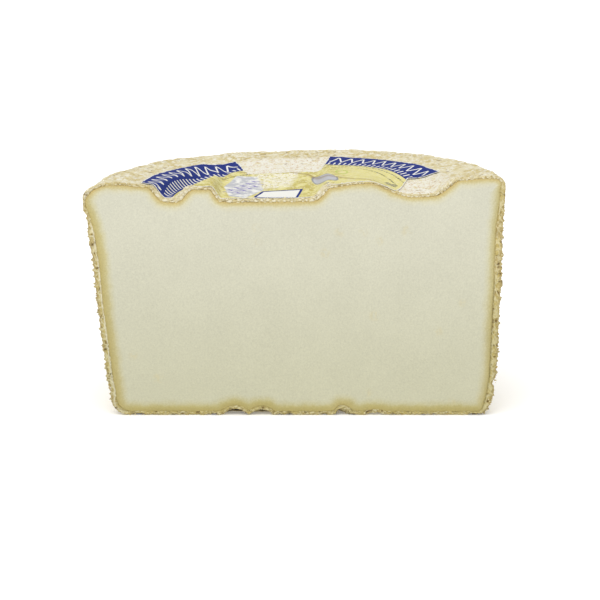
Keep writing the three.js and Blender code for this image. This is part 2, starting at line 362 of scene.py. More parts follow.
class Finish:
    """A material whose nodes are added one by one and linked as they are made."""

    def __init__(self, name):
        self.material = bpy.data.materials.new(name)
        self.material.use_nodes = True
        self.tree = self.material.node_tree
        self.shader = self.tree.nodes["Principled BSDF"]
        self.place = self.add("ShaderNodeTexCoord").outputs["Object"]

    def add(self, kind, inputs=None, **settings):
        """A node with its settings and inputs; an input is a socket to link or a plain value."""
        node = self.tree.nodes.new(kind)
        for key, value in settings.items():
            setattr(node, key, value)
        for key, value in (inputs or {}).items():
            self.put(node.inputs[key], value)
        return node

    def put(self, socket, value):
        """Links a socket, or sets a plain value."""
        if isinstance(value, bpy.types.NodeSocket):
            self.tree.links.new(value, socket)
        else:
            socket.default_value = value

    def math(self, operation, first, second=0.0, clamp=False):
        inputs = {0: first, 1: second}
        return self.add("ShaderNodeMath", inputs, operation=operation, use_clamp=clamp).outputs[0]

    def times(self, first, *others):
        for other in others:
            first = self.math("MULTIPLY", first, other)
        return first

    def plus(self, first, *others):
        for other in others:
            first = self.math("ADD", first, other)
        return first

    def minus(self, first, second):
        return self.math("SUBTRACT", first, second)

    def above(self, value, limit):
        return self.math("GREATER_THAN", value, limit)

    def below(self, value, limit):
        return self.math("LESS_THAN", value, limit)

    def between(self, value, low, high):
        return self.times(self.above(value, low), self.below(value, high))

    def vector(self, operation, first, second=(0, 0, 0)):
        node = self.add("ShaderNodeVectorMath", {0: first, 1: second}, operation=operation)
        return node.outputs["Value" if operation in {"LENGTH", "DOT_PRODUCT"} else "Vector"]

    def scaled(self, colour, factor):
        inputs = {0: colour, "Scale": factor}
        return self.add("ShaderNodeVectorMath", inputs, operation="SCALE").outputs["Vector"]

    def mix(self, share, first, second):
        node = self.add("ShaderNodeMix", data_type="RGBA")
        for key, value in zip((0, 6, 7), (share, first, second)):
            self.put(node.inputs[key], value)
        return node.outputs[2]

    def layers(self, colour, *table):
        """Lays pairs of a share and a colour over a first colour, one after another."""
        for share, shade in table:
            colour = self.mix(share, colour, shade)
        return colour

    def ease(self, value, low, high, start=0.0, end=1.0, curve="SMOOTHSTEP"):
        """Eases from start to end as value goes from low to high."""
        inputs = {0: value, 1: low, 2: high, 3: start, 4: end}
        return self.add("ShaderNodeMapRange", inputs, interpolation_type=curve).outputs[0]

    def noise(self, size, detail=3.0, roughness=0.55):
        """Noise from 0 to 1 whose lumps are about size millimetres."""
        inputs = {"Vector": self.place, "Scale": 1 / (size * MM)}
        inputs.update({"Detail": detail, "Roughness": roughness})
        return self.add("ShaderNodeTexNoise", inputs).outputs[0]

    def patches(self, size, detail, roughness, low, high, strength=1.0):
        """Strength where noise of that size is above high, 0 where it is under low."""
        return self.ease(self.noise(size, detail, roughness), low, high, 0.0, strength)

    def spots(self, size, reach):
        """1 in the middle of scattered spots, 0 outside them; size is their spacing."""
        inputs = {"Vector": self.place, "Scale": 1 / (size * MM)}
        distance = self.add("ShaderNodeTexVoronoi", inputs).outputs["Distance"]
        return self.ease(distance, reach * 0.4, reach, 1.0, 0.0)

    def attribute(self, name, output="Fac"):
        return self.add("ShaderNodeAttribute", attribute_name=name).outputs[output]

    def ramp(self, value, stops):
        """Colours along a value from 0 to 1: (place, red, green, blue) in screen values."""
        node = self.add("ShaderNodeValToRGB", {"Fac": value})
        points = node.color_ramp.elements
        while len(points) < len(stops):
            points.new(0.5)
        for point, (at, *colour) in zip(points, stops):
            point.position = at
            point.color = paint(*colour)
        return node.outputs["Color"]

    def bump(self, height, distance):
        """Bump of that many millimetres."""
        inputs = {"Height": height, "Distance": distance * MM, "Strength": 1.0}
        self.put(self.shader.inputs["Normal"], self.add("ShaderNodeBump", inputs).outputs["Normal"])

    def surface(self, colour, roughness):
        self.put(self.shader.inputs["Base Color"], colour)
        self.put(self.shader.inputs["Roughness"], roughness)
        return self.material


def rind_colours(finish, colours):
    """Tan rind mottled with cream and brown, paler and crumblier on the top, with painted shade in
    its hollows.
    """
    broad, fine = finish.noise(14, 4, 0.6), finish.noise(2.6, 3, 0.6)
    flank = finish.layers(
        colours.rind_tan,
        (finish.ease(broad, 0.38, 0.62), colours.rind_gold),
        (finish.ease(fine, 0.46, 0.7), colours.rind_cream),
    )
    top = finish.layers(
        colours.rind_gold,
        (finish.patches(9, 4, 0.65, 0.4, 0.6), colours.rind_cream),
        (finish.ease(fine, 0.46, 0.62, 0, 0.8), colours.rind_white),
    )
    floury = finish.layers(
        colours.rind_cream,
        (finish.patches(3.2, 4, 0.7, 0.36, 0.5), colours.rind_white),
        (finish.patches(1.9, 4, 0.8, 0.53, 0.62, 0.85), colours.rind_rust),
    )
    specks = finish.times(finish.spots(4.5, 0.3), finish.ease(broad, 0.45, 0.6), 0.55)
    return finish.layers(
        flank,
        (finish.attribute("top"), top),
        (finish.attribute("middle"), floury),
        (specks, colours.rind_brown),
        (finish.patches(0.8, 3, 0.75, 0.52, 0.66, 0.3), colours.rind_cream),
        (finish.patches(1.1, 3, 0.75, 0.56, 0.7, 0.25), colours.rind_tan),
        # Painted shade in the grooves, pits and roofs of the base hollows
        (finish.ease(finish.attribute("hollow"), 0.25, 1.0, 0, 0.75), colours.rind_brown),
    )


def rind_material(colours):
    """Dry rind, with painted shade on the roofs of the hollows under the base."""
    finish = Finish("cheese_rind")
    finish.bump(finish.plus(finish.noise(0.7, 4, 0.75), finish.noise(2.4, 4, 0.7)), 0.5)
    mottled = rind_colours(finish, colours)
    return finish.surface(finish.mix(finish.attribute("roof_shade"), mottled, colours.rind_void), 0.85)


# Colours inwards from the rind on the cut face, as (millimetres, red, green, blue)
BAND = 12  # how far in the colours are given, in millimetres
LEFT_BAND = [(0, 186, 170, 106), (1.0, 190, 175, 112), (2.6, 196, 184, 128), (4.8, 206, 198, 152)]
RIGHT_BAND = [(0, 174, 157, 98), (0.7, 190, 177, 120), (1.9, 198, 188, 140), (3.8, 209, 203, 166)]
BASE_BAND = [(0, 190, 175, 110), (1.2, 186, 172, 106), (2.6, 192, 181, 120), (4.4, 203, 196, 148)]
TOP_BAND = [(0, 200, 178, 114), (0.8, 204, 186, 126), (2.0, 210, 199, 150), (3.2, 217, 211, 178)]


def face_material(colours):
    """Cut paste with painted light: paler towards the top, darker towards the base, with a golden
    glow inwards from the rind.
    """
    finish = Finish("cheese_paste")
    height = finish.add("ShaderNodeSeparateXYZ", {0: finish.place}).outputs["Z"]
    stain = finish.times(finish.spots(26, 0.16), finish.patches(2.2, 3, 0.55, 0.4, 0.6), 0.25)
    # Painted light and shade: the paste is lighter near the top and darker near the base
    paste = finish.layers(
        colours.paste_foot,
        (finish.ease(height, 0.0, 0.14), colours.paste_top),
        (stain, colours.rind_gold),
    )
    # Millimetres inwards from the rind, with a grainy border that wanders
    grain = finish.minus(finish.noise(1.0, 3, 0.7), 0.5)
    away = finish.attribute("depth")
    wander = finish.minus(finish.noise(5, 3, 0.6), 0.5)
    wander = finish.times(wander, 3.0, finish.ease(away, 0.3, 4.0))
    depth = finish.plus(away, finish.times(grain, 1.6), wander)
    along = finish.math("DIVIDE", depth, BAND, clamp=True)
    # Painted shade: the bands by the rind darken towards the base
    foot_shade_share = finish.ease(height, 0.03, 0.11, 0.26, 0.0)
    side = finish.add("ShaderNodeSeparateColor", {0: finish.attribute("side", "Color")}).outputs
    shown = []
    for stops in (RIGHT_BAND, LEFT_BAND, BASE_BAND, TOP_BAND):
        ramp = finish.ramp(along, [(at / BAND, *shade) for at, *shade in stops])
        ramp = finish.mix(foot_shade_share, ramp, colours.section_line)
        clear = finish.ease(depth, stops[-1][0] - 1.8, stops[-1][0] + 3.2)
        shown.append(finish.mix(clear, ramp, paste))
    colour = finish.layers(shown[0], *zip(side, shown[1:]))
    cloudy = finish.ease(finish.noise(22, 3, 0.5), 0.3, 0.7, -0.5, 0.5)
    shade = finish.plus(finish.times(cloudy, 0.03), finish.times(grain, 0.36))
    finish.bump(finish.plus(finish.noise(1.1, 4, 0.65), finish.noise(4, 2, 0.5)), 0.22)
    return finish.surface(finish.scaled(colour, finish.plus(shade, 1.0)), 0.62)


def rind_relief(points, normals):
    """Depth below the smooth rind, how much painted shade each point takes in grooves and pits, and
    the shares of top and middle.

    The rind has craggy cells with grooves between them, two sizes of noise, and scattered pits.
    """
    x, y, z = points.T
    upward = np.clip(normals[:, 2], 0, 1)
    middle = upward * (1 - smoothstep(np.hypot(x, y), *FLOURY_MIDDLE))
    twist = 1.6 * smooth_noise(x / 5, y / 5, z / 5)
    nearest, second = crags(x + twist, y - twist, z * 1.15 + twist, CRAG_SIZE)
    groove = bell(second - nearest, 0, 0.16)
    pit_near, _ = crags(x, y, z, PIT_SPACING)
    pit = 1 - smoothstep(pit_near, 0.12, 0.3)
    rough = 0.5 - 0.5 * lumps([(2.4, 0.7), (1.3, 0.3)], x, y, z)
    depth = 0.75 * groove + 0.8 * pit * (lumps([(17, 1)], x, y, z) > 0) + 0.8 * rough
    # Painted shade in the grooves and pits
    hollow = np.clip(0.8 * groove * (0.6 + 0.4 * rough) + 0.9 * pit - 0.25, 0, 1)
    weak = blend(blend(1, 0.6, upward), 0.22, middle)
    resting = np.clip(-normals[:, 2], 0, 1)
    return depth * weak * blend(1, 0.3, resting), hollow * blend(1, 0.3, middle), upward, middle


def block_faces(counts):
    """Outer quads of a block of cells but its front, and the front's ring, as lattice keys."""
    wide, deep, high = counts

    def key(a, d, u):
        return (a * (deep + 1) + d) * (high + 1) + u

    def side(place, rows, columns, outward):
        r, c = np.meshgrid(np.arange(rows), np.arange(columns), indexing="ij")
        ring = [place(r, c), place(r + 1, c), place(r + 1, c + 1), place(r, c + 1)]
        return np.stack(ring if outward else ring[::-1], -1).reshape(-1, 4)

    quads = np.concatenate(
        [
            side(lambda a, u: key(a, deep, u), wide, high, False),
            side(lambda d, u: key(wide, d, u), deep, high, True),
            side(lambda d, u: key(0, d, u), deep, high, False),
            side(lambda a, d: key(a, d, high), wide, deep, True),
            side(lambda a, d: key(a, d, 0), wide, deep, False),
        ]
    )
    across, up = np.arange(wide), np.arange(high)
    ring = [key(across, 0, 0), key(wide, 0, up), key(wide - across, 0, high), key(0, 0, high - up)]
    return quads, np.concatenate(ring)


class HALFWHEEL_OT_rind(bpy.types.Operator):
    """Make the rind and everything behind the cut face"""

    bl_idname = "halfwheel.rind"
    bl_label = "Rind"

    def execute(self, context):
        wheel = context.scene.half_wheel
        wide, deep, high = RIND_CELLS
        quads, ring = block_faces(RIND_CELLS)
        keys, quads = np.unique(quads, return_inverse=True)
        quads = quads.reshape(-1, 4)
        a, d, u = np.unravel_index(keys, (wide + 1, deep + 1, high + 1))
        across = 2 * a / wide - 1
        share = blend(depth_share(wheel, across, FACE_THICKNESS), 1, d / deep)
        points = cheese_point(wheel, across, share, even_ups(wheel, high)[u])
        points[d == 0, 1] = FACE_THICKNESS
        normals = vertex_normals(points, quads)
        depth, hollow, upward, middle = rind_relief(points, normals)
        clear = smoothstep(points[:, 1], FACE_THICKNESS, FACE_THICKNESS + UNDER_STRIP["fade"])
        depth = blend(UNDER_STRIP["depth"], depth * wheel.crag_depth, clear)
        points = points - normals * depth[:, None]
        points[d == 0, 1] = FACE_THICKNESS
        lift = 0.4 + 1.1 * base_gaps(points[:, 0])
        lift = lift * (1 - smoothstep(points[:, 1], *LIFT_FADE))
        points[:, 2] = np.maximum(points[:, 2], lift)
        faces = quads.tolist() + [np.searchsorted(keys, ring).tolist()]
        # Painted shade: the roofs of the hollows under the base are painted the dark void colour
        low = points[:, 2] < ROOF_LEVEL
        roof_shade = smoothstep(base_shape(points[:, 0], points[:, 1]), 0.1, 0.6) * low
        attributes = {
            "hollow": np.maximum(hollow * clear, roof_shade),
            "roof_shade": roof_shade,
            "top": smoothstep(upward, 0.3, 0.8),
            "middle": middle,
        }
        material = rind_material(context.scene.half_wheel_colours)
        piece = make_piece("rind_body", points, faces, material, attributes)
        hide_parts("cheese")
        return {"FINISHED"}


def border_ring(rows, columns):
    """Point numbers round a grid's border: along the base, up, back along the top and down."""
    base = np.arange(columns)
    right = np.arange(1, rows) * columns + columns - 1
    top = (rows - 1) * columns + np.arange(columns - 2, -1, -1)
    left = np.arange(rows - 2, 0, -1) * columns
    return np.concatenate([base, right, top, left])


def round_average(values, reach):
    """Mean over a window that runs round a closed ring."""
    window = np.ones(2 * reach + 1) / (2 * reach + 1)
    return np.convolve(np.concatenate([values[-reach:], values, values[:reach]]), window, "valid")


def nearest_on_ring(points, ring):
    """Distance to the ring and the number of the nearest ring point, worked out in batches."""
    distance, index = np.empty(len(points)), np.empty(len(points), int)
    for start in range(0, len(points), BATCH):
        part = slice(start, start + BATCH)
        batch = points[part, None, :] - ring[None, :, :]
        gaps = np.einsum("nmk,nmk->nm", batch, batch)
        index[part] = gaps.argmin(1)
        distance[part] = np.sqrt(gaps.min(1))
    return distance, index


class CutOutline:
    """The outline of the cut, evenly spaced, anticlockwise from the foot on the left.

    It holds arc lengths, block shares, points, normals over a short and a long stretch, the share
    of each side and of the crumbled foot on the left, and the width of the rind in section.
    """

    def __init__(self, wheel, spacing):
        across, ups = np.linspace(-1, 1, OUTLINE_ACROSS), even_ups(wheel, OUTLINE_UP)
        base = np.stack([across, np.zeros_like(across)], 1)
        right = np.stack([np.ones_like(ups), ups], 1)
        shares = np.concatenate([base, right, base[::-1] + [0, 1], right[::-1] * [-1, 1]])
        points = cheese_point(wheel, shares[:, 0], np.zeros(len(shares)), shares[:, 1])[:, [0, 2]]
        length = np.concatenate([[0], np.cumsum(np.hypot(*np.diff(points, axis=0).T))])
        self.arc = np.linspace(0, length[-1], round(length[-1] / spacing), endpoint=False)
        self.across, self.up = (np.interp(self.arc, length, column) for column in shares.T)
        self.points = self.at(wheel, 0)[:, [0, 2]]
        reach = round(SIDE_REACH / spacing)
        self.normal = self.turned(round(NORMAL_REACH / spacing))
        self.inward = -self.turned(reach)
        nx, nz = self.normal.T
        sides = (nx < -0.6, nz < -0.7, nz > 0.5)
        self.left, self.base, self.top = (round_average(s.astype(float), reach) for s in sides)
        self.right = np.clip(1 - self.left - self.top - self.base, 0, 1)
        x, z = self.points.T
        self.foot = smoothstep(-x, *FOOT_ACROSS) * (1 - smoothstep(z, *FOOT_UP))
        left = blend(WIDTHS["left_top"], WIDTHS["left"], smoothstep(-z, -121, -104))
        width = blend(WIDTHS["right"], left, self.left)
        width = blend(width, WIDTHS["right_top"], (1 - self.left) * smoothstep(z, 108, 122))
        width = blend(width, np.interp(x, *TOP_WIDTHS), self.top)
        width = blend(width, WIDTHS["base"], self.base)
        self.width = blend(width, WIDTHS["foot"], self.foot)

    def at(self, wheel, back):
        """The outline carried back over the rind by this many millimetres."""
        points = cheese_point(wheel, self.across, depth_share(wheel, self.across, back), self.up)
        points[:, 1] = back
        return points

    def turned(self, reach):
        """Unit outward normals over a stretch of this many points each way."""
        steps = range(1, reach + 1)
        ahead = sum(np.roll(self.points, -n, 0) - np.roll(self.points, n, 0) for n in steps)
        normal = np.stack([ahead[:, 1], -ahead[:, 0]], 1)
        return normal / np.linalg.norm(normal, axis=1, keepdims=True)


def base_gaps(x):
    """Where the crust stands clear of the floor along the base of the cut, 0 to 1."""
    return smoothstep(lumps([(8, 0.6), (3.1, 0.6)], x, 12.5, 4.5), 0.05, 0.5)


class HALFWHEEL_OT_cut_face(bpy.types.Operator):
    """Make the cut face: a slab of paste whose edge lies under the rind in section"""

    bl_idname = "halfwheel.cut_face"
    bl_label = "Cut face"

    def execute(self, context):
        wheel = context.scene.half_wheel
        rows, columns = FACE_CELLS[1] + 1, FACE_CELLS[0] + 1
        ups = even_ups(wheel, FACE_CELLS[1])
        grid = np.meshgrid(ups, np.linspace(-1, 1, columns), indexing="ij")
        up, across = (c.ravel() for c in grid)
        flat = cheese_point(wheel, across, np.zeros_like(across), up)[:, [0, 2]]
        outline = CutOutline(wheel, 2 * EDGE_SPACING)
        distance, nearest = nearest_on_ring(flat, outline.points)
        depth = distance - outline.width[nearest]
        drawn_in = 0.5 * outline.width[nearest] * bell(distance, 0, 1.2)
        x, z = (flat + outline.inward[nearest] * drawn_in[:, None]).T
        # Saw marks and grain, then a step back under the strip
        back = 0.55 + lumps([(2.1, 0.09), (0.95, 0.07)], x, 3.3, z)
        back = back + 0.16 * smooth_noise(x / 17, 5.1, z / 17)
        back = back + 1.25 * smoothstep(-depth, -0.1, 0.5)
        front = np.stack([x, back, np.maximum(z, 0.2)], 1)
        border = border_ring(rows, columns)
        behind = front[border]
        behind[:, 1] = FACE_THICKNESS + FACE_LAP
        behind[:, [0, 2]] += outline.inward[nearest[border]] * FACE_TAPER
        points = np.concatenate([front, behind])
        ring = len(front) + np.arange(len(border))
        wall = np.stack([border, ring, np.roll(ring, -1), np.roll(border, -1)], 1)
        faces = np.concatenate([grid_quads(rows, columns), wall]).tolist() + [ring[::-1].tolist()]
        number = np.concatenate([nearest, nearest[border]])
        side = np.stack([outline.left, outline.base, outline.top, np.ones(len(outline.arc))], 1)
        attributes = {"depth": np.concatenate([depth, depth[border]]), "side": side[number]}
        material = face_material(context.scene.half_wheel_colours)
        make_piece("cut_face", points, faces, material, attributes)
        return {"FINISHED"}


def edge_material():
    """Rind in section, in the colours worked out for its points, with a fine dry grain."""
    finish = Finish("rind_section")
    grain = finish.noise(0.9, 4, 0.7)
    finish.bump(finish.plus(grain, finish.noise(2.2, 4, 0.7)), 0.35)
    shade = finish.ease(grain, 0.3, 0.7, 0.9, 1.08)
    return finish.surface(finish.scaled(finish.attribute("tone", "Color"), shade), 0.8)


def edge_form(x, z, arc, depth, back):
    """Ridges, beads, granules and pits (0 to 1) and patches (-1 to 1) of the rind in section.

    Ridges are the walls between cells 3 to 5 mm long, beads are rounded lumps of 2 mm, granules
    half that, and pits are where two noises are high.
    """
    sway = 0.9 * smooth_noise(x / 2.4, back, z / 2.4)
    nearest, second = crags(arc / 1.5 + sway, back * 0.6 + 2.5, depth + sway * 0.7, 2.7)
    ridge = 1 - smoothstep(second - nearest, 0.05, 0.22)
    nearest, second = crags(arc / 1.3 + 0.6 * sway, back * 0.8 + 7.5, depth + 0.4 * sway, 1.8)
    bead = smoothstep(second - nearest, 0.03, 0.42)
    granule, _ = crags(x + 40, back * 1.1, z, 1.2)
    granule = 1 - smoothstep(granule, 0.1, 0.75)
    patch = smooth_noise(arc / 5, depth / 4, 7.5)
    pit = smoothstep(lumps([(2.1, 0.8), (0.9, 0.45)], x, back + 4.5, z), 0.36, 0.66) * (1 - ridge)
    return ridge, bead, granule, pit, patch


def ragged(arc, back):
    """Millimetres that the outline stands out: bumps, less dips, and a fine noise."""
    bumps = 2.3 * np.maximum(0, smooth_noise(arc / 1.4, back / 1.6, 6.5) - 0.2)
    dips = 0.9 * np.maximum(0, smooth_noise(arc / 3.4, back / 3, 2.5) - 0.15)
    return bumps - dips + 0.22 * smooth_noise(arc / 0.7, back, 9.5)


def edge_row(wheel, outline, depth, back, sink):
    """Points of one row of the strip, its place on the outline's plane and its form.

    depth is how far the row lies inside the outline. A row on the front bulges out of the cut by
    its form and rounds off at the edge. A row further back lies on the rind, less its sink.
    """
    top, base = outline.top, outline.base
    flat = outline.at(wheel, back)[:, [0, 2]] + outline.inward * depth[:, None]
    x, z = flat.T
    form = edge_form(x, z, outline.arc, depth, back)
    ridge, bead, granule, pit, _ = form
    raised = blend(0.6 * ridge + 0.35 * granule, 0.9 * bead, np.maximum(top, base)) - 0.8 * pit
    raised = raised + 0.3 * smooth_noise(x / 0.95, back / 0.95, z / 0.95)
    calm = blend(1, 0.5, base) * blend(1, 0.3, top) * (1 + 0.6 * outline.foot)
    gap = 0.6 * (base * base_gaps(outline.points[:, 0]))
    out = bell(depth, 0, 1.1) * (calm * ragged(outline.arc, back) - 0.15 - gap)
    # A crumbled foot and a full shoulder on the left, and a nick low on the right
    nick = bell(z, *NICK) * outline.right * 2.0
    shoulder = 4 * outline.left * top * 0.6
    out = out + (2 * outline.foot + shoulder - nick) * bell(depth, 0, 2.5)
    if back == 0:
        left_over = np.clip(EDGE_ROUND - depth, 0, EDGE_ROUND)
        rounded = EDGE_ROUND - np.sqrt(np.maximum(0, EDGE_ROUND**2 - left_over**2))
        y = 0.85 - 0.75 * raised + (1 - 0.4 * top) * rounded
        y = y + smoothstep(depth, outline.width - 0.4, outline.width + EDGE_OVERLAP) * 0.9
        y = np.clip(y, 0.05, 2.0)
    else:
        y = np.full(len(depth), back)
        out = out + calm * 0.5 * raised - sink
    moved = flat - outline.inward * out[:, None]
    return np.stack([moved[:, 0], y, np.maximum(moved[:, 1], 0)], 1), x, z, form


class HALFWHEEL_OT_edge(bpy.types.Operator):
    """Make the rind in section: a crumpled strip round the cut that folds back over the rind"""

    bl_idname = "halfwheel.edge"
    bl_label = "Rind in section"

    def execute(self, context):
        wheel, colours = context.scene.half_wheel, context.scene.half_wheel_colours
        outline = CutOutline(wheel, EDGE_SPACING)
        rows = [(share, 0.0, 0) for share in np.linspace(1, 0, EDGE_ROWS)]
        rows = rows + [(0, back, sink) for back, sink in EDGE_BACKS]
        points, tones = [], []
        for share, back, sink in rows:
            depth = (outline.width + EDGE_OVERLAP) * share
            row, x, z, form = edge_row(wheel, outline, depth, back, sink)
            points.append(row)
            tones.append(edge_tone(colours, outline, x, z, depth, form))
        count = len(outline.arc)
        first = np.arange(len(rows))[:, None] * count
        along = np.arange(count)[None, :]
        following, ahead = np.roll(first, -1, 0), np.roll(along, -1, 1)
        corners = [following + along, following + ahead, first + ahead, first + along]
        faces = np.stack(corners, -1).reshape(-1, 4).tolist()
        points, attributes = np.concatenate(points), {"tone": np.concatenate(tones)}
        make_piece("rind_edge", points, faces, edge_material(), attributes)
        return {"FINISHED"}


def edge_tone(colours, outline, x, z, depth, form):
    """Linear colours of one row of the rind in section.

    On the sides: pale ridges round golden cells, and a pale line inside on the left. Along the top
    and base: pale beads with painted highlights and golden seams with painted shade between them,
    more golden towards the left. Brown shows in the pits and in a line inside the right rind, and
    painted shadow in the gaps over the floor.
    """
    ridge, bead, granule, pit, patch = form
    top, base, left, right = outline.top, outline.base, outline.left, outline.right
    outer = (1 - smoothstep(depth, 0.5, 1.7)) * (1 - top) * (1 - 0.5 * base)
    golden = smoothstep(-x, 76, 84) * 0.55 + bell(x, 44, 16) * 0.35 + 0.3 * (patch > 0.4)
    inner = smoothstep(depth - outline.width, -0.9, -0.2) * right * (1 - smoothstep(z, 70, 96))
    wall = bell(depth - outline.width, -0.5, 0.45) * left * (1 - top)
    # Painted shadow in the gaps where the crust stands clear of the floor
    low = (1 - smoothstep(depth, 0.5, 1.3)) * base_gaps(x)
    tone = np.tile(np.array(colours.section_gold), (len(depth), 1))
    for share, colour in (
        (smoothstep(patch, 0.0, 0.5) * 0.8, colours.rind_tan),
        (0.4 * granule, colours.rind_cream),
        (ridge * blend(0.9, 0.6, right) * (1 - top - base), colours.section_pale),
        (outer * (0.85 - 0.4 * ridge), colours.rind_tan),
        # Painted highlights on the beads of the base
        (base * bead * (0.35 + 0.45 * (patch > 0.1)), colours.section_pale),
        # The cream lip along the top, with painted highlights on its beads and painted shade in the
        # seams
        (top * (0.25 + 0.75 * bead) * (1 - np.clip(golden, 0, 0.8)), colours.section_lip),
        (inner * (0.9 - 0.7 * granule), colours.section_line),
        (2 * left * top * (0.3 + 0.7 * bead), colours.section_lip),
        (wall * smoothstep(patch, -0.5, 0.1) * 0.8, colours.section_lip),
        (pit * blend(0.8, 0.3, top), colours.rind_brown),
        # Painted shadow in the gaps over the floor
        (base * low * 0.9, colours.rind_void),
    ):
        tone = blend(tone, np.array(colour), np.clip(share, 0, 1)[:, None])
    # Painted shade: the section darkens towards its foot
    return tone * blend(np.array(FOOT_SHADE), 1, smoothstep(z, 20, 110)[:, None])


def label_edge(label, x, y):
    """Distance to the label's outline, negative on the paper: a disc less its notches."""
    outside = np.hypot(x, y) - label.radius / MM
    for corners in NOTCHES:
        inside = np.full(x.shape, np.inf)
        for (ax, ay), (bx, by) in zip(corners, corners[1:] + corners[:1]):
            away = ((bx - ax) * (y - ay) - (by - ay) * (x - ax)) / np.hypot(bx - ax, by - ay)
            inside = np.minimum(inside, away)
        outside = np.maximum(outside, inside)
    return np.maximum(outside, 0.9 + 0.5 * smooth_noise(x / 4, 3.5, 8.5) - y)


def line_distance(corners, x, y):
    """Distance to a chain of straight lines in the plan."""
    nearest = np.full(x.shape, np.inf)
    for (ax, ay), (bx, by) in zip(corners, corners[1:]):
        share = ((x - ax) * (bx - ax) + (y - ay) * (by - ay)) / ((bx - ax) ** 2 + (by - ay) ** 2)
        share = np.clip(share, 0, 1)
        gap = np.hypot(x - ax - share * (bx - ax), y - ay - share * (by - ay))
        nearest = np.minimum(nearest, gap)
    return nearest


def label_sheet(label):
    """Plan points and faces of a grid of cells cut at the label's outline.

    Points near the outline are moved onto it. Cells with one corner outside become triangles.
    """
    reach = label.radius / MM + LABEL_CELL
    xs = np.arange(-reach, reach + LABEL_CELL, LABEL_CELL)
    ys = np.arange(0.05, reach + LABEL_CELL, LABEL_CELL)
    y, x = (c.ravel() for c in np.meshgrid(ys, xs, indexing="ij"))
    step = 0.01
    for _ in range(3):
        edge = label_edge(label, x, y)
        slope_x = (label_edge(label, x + step, y) - label_edge(label, x - step, y)) / (2 * step)
        slope_y = (label_edge(label, x, y + step) - label_edge(label, x, y - step)) / (2 * step)
        near = np.abs(edge) < 0.5 * LABEL_CELL
        x, y = x - near * edge * slope_x, y - near * edge * slope_y
    quads = grid_quads(len(ys), len(xs))
    inside = (label_edge(label, x, y) < 0.05)[quads]
    whole, part = quads[inside.all(1)], inside.sum(1) == 3
    order = (np.argmin(inside[part], 1)[:, None] + np.arange(1, 4)) % 4
    halves = np.take_along_axis(quads[part], order, 1)
    used = np.concatenate([whole.ravel(), halves.ravel()])
    used, numbers = np.unique(used, return_inverse=True)
    faces = numbers[: whole.size].reshape(-1, 4).tolist()
    return x[used], y[used], faces + numbers[whole.size :].reshape(-1, 3).tolist()


class HALFWHEEL_OT_label(bpy.types.Operator):
    """Make the paper label that lies on the top"""

    bl_idname = "halfwheel.label"
    bl_label = "Paper label"

    def execute(self, context):
        wheel, label = context.scene.half_wheel, context.scene.half_wheel_label
        x, y, faces = label_sheet(label)
        edge = label_edge(label, x, y)
        lift = 0.42 + lumps(LABEL_LUMPS, x, y, 4.5)
        lift = lift - 0.2 * (1 - smoothstep(y, 1, 7))
        curl = np.clip(0.25 + 0.6 * smooth_noise(x / 8, y / 8, 1.5), 0, 1)
        curl = (1 - smoothstep(-edge, 0, 4)) * curl * smoothstep(y, 3, 9)
        crease = bell(line_distance(CREASE, x, y), 0, 1.0)
        z = top_height(wheel, x, y) + lift + 0.5 * curl + 0.45 * crease
        material = label_material(label, context.scene.half_wheel_colours)
        # The crease attribute also carries the painted shade along the paper's fold
        attributes = {"edge": -edge, "crease": crease}
        sheet = np.stack([x, y, z], 1)
        piece = make_piece("paper_label_sheet", sheet, faces, material, attributes)
        paper = piece.modifiers.new("paper", "SOLIDIFY")
        paper.thickness = label.paper
        paper.offset = -1
        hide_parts("paper_label")
        return {"FINISHED"}


# Corners of the print's plain shapes, anticlockwise from above
LILAC_FIELD = [(-28, 0), (-17.5, 20), (-22, 50), (-35, 51), (-42, 29), (-38, 6)]
PLAQUE = [(-24, 1.5), (1.5, 0.4), (4.5, 21), (-19, 17)]
SHORT_BAR = [(9.5, 0.2), (12.3, 0.2), (19.5, 6.6), (17.6, 8.2)]
TICKS = [(50.5, 15.5), (57, 13), (59, 18), (52.5, 21)]
WORN = [(-19, 22), (-4, 27), (2, 56), (-24, 53)]
STROKE_MIDDLE = (-28.5, 27)
SLANT = (0.584, 0.812)  # direction of the wavy stroke


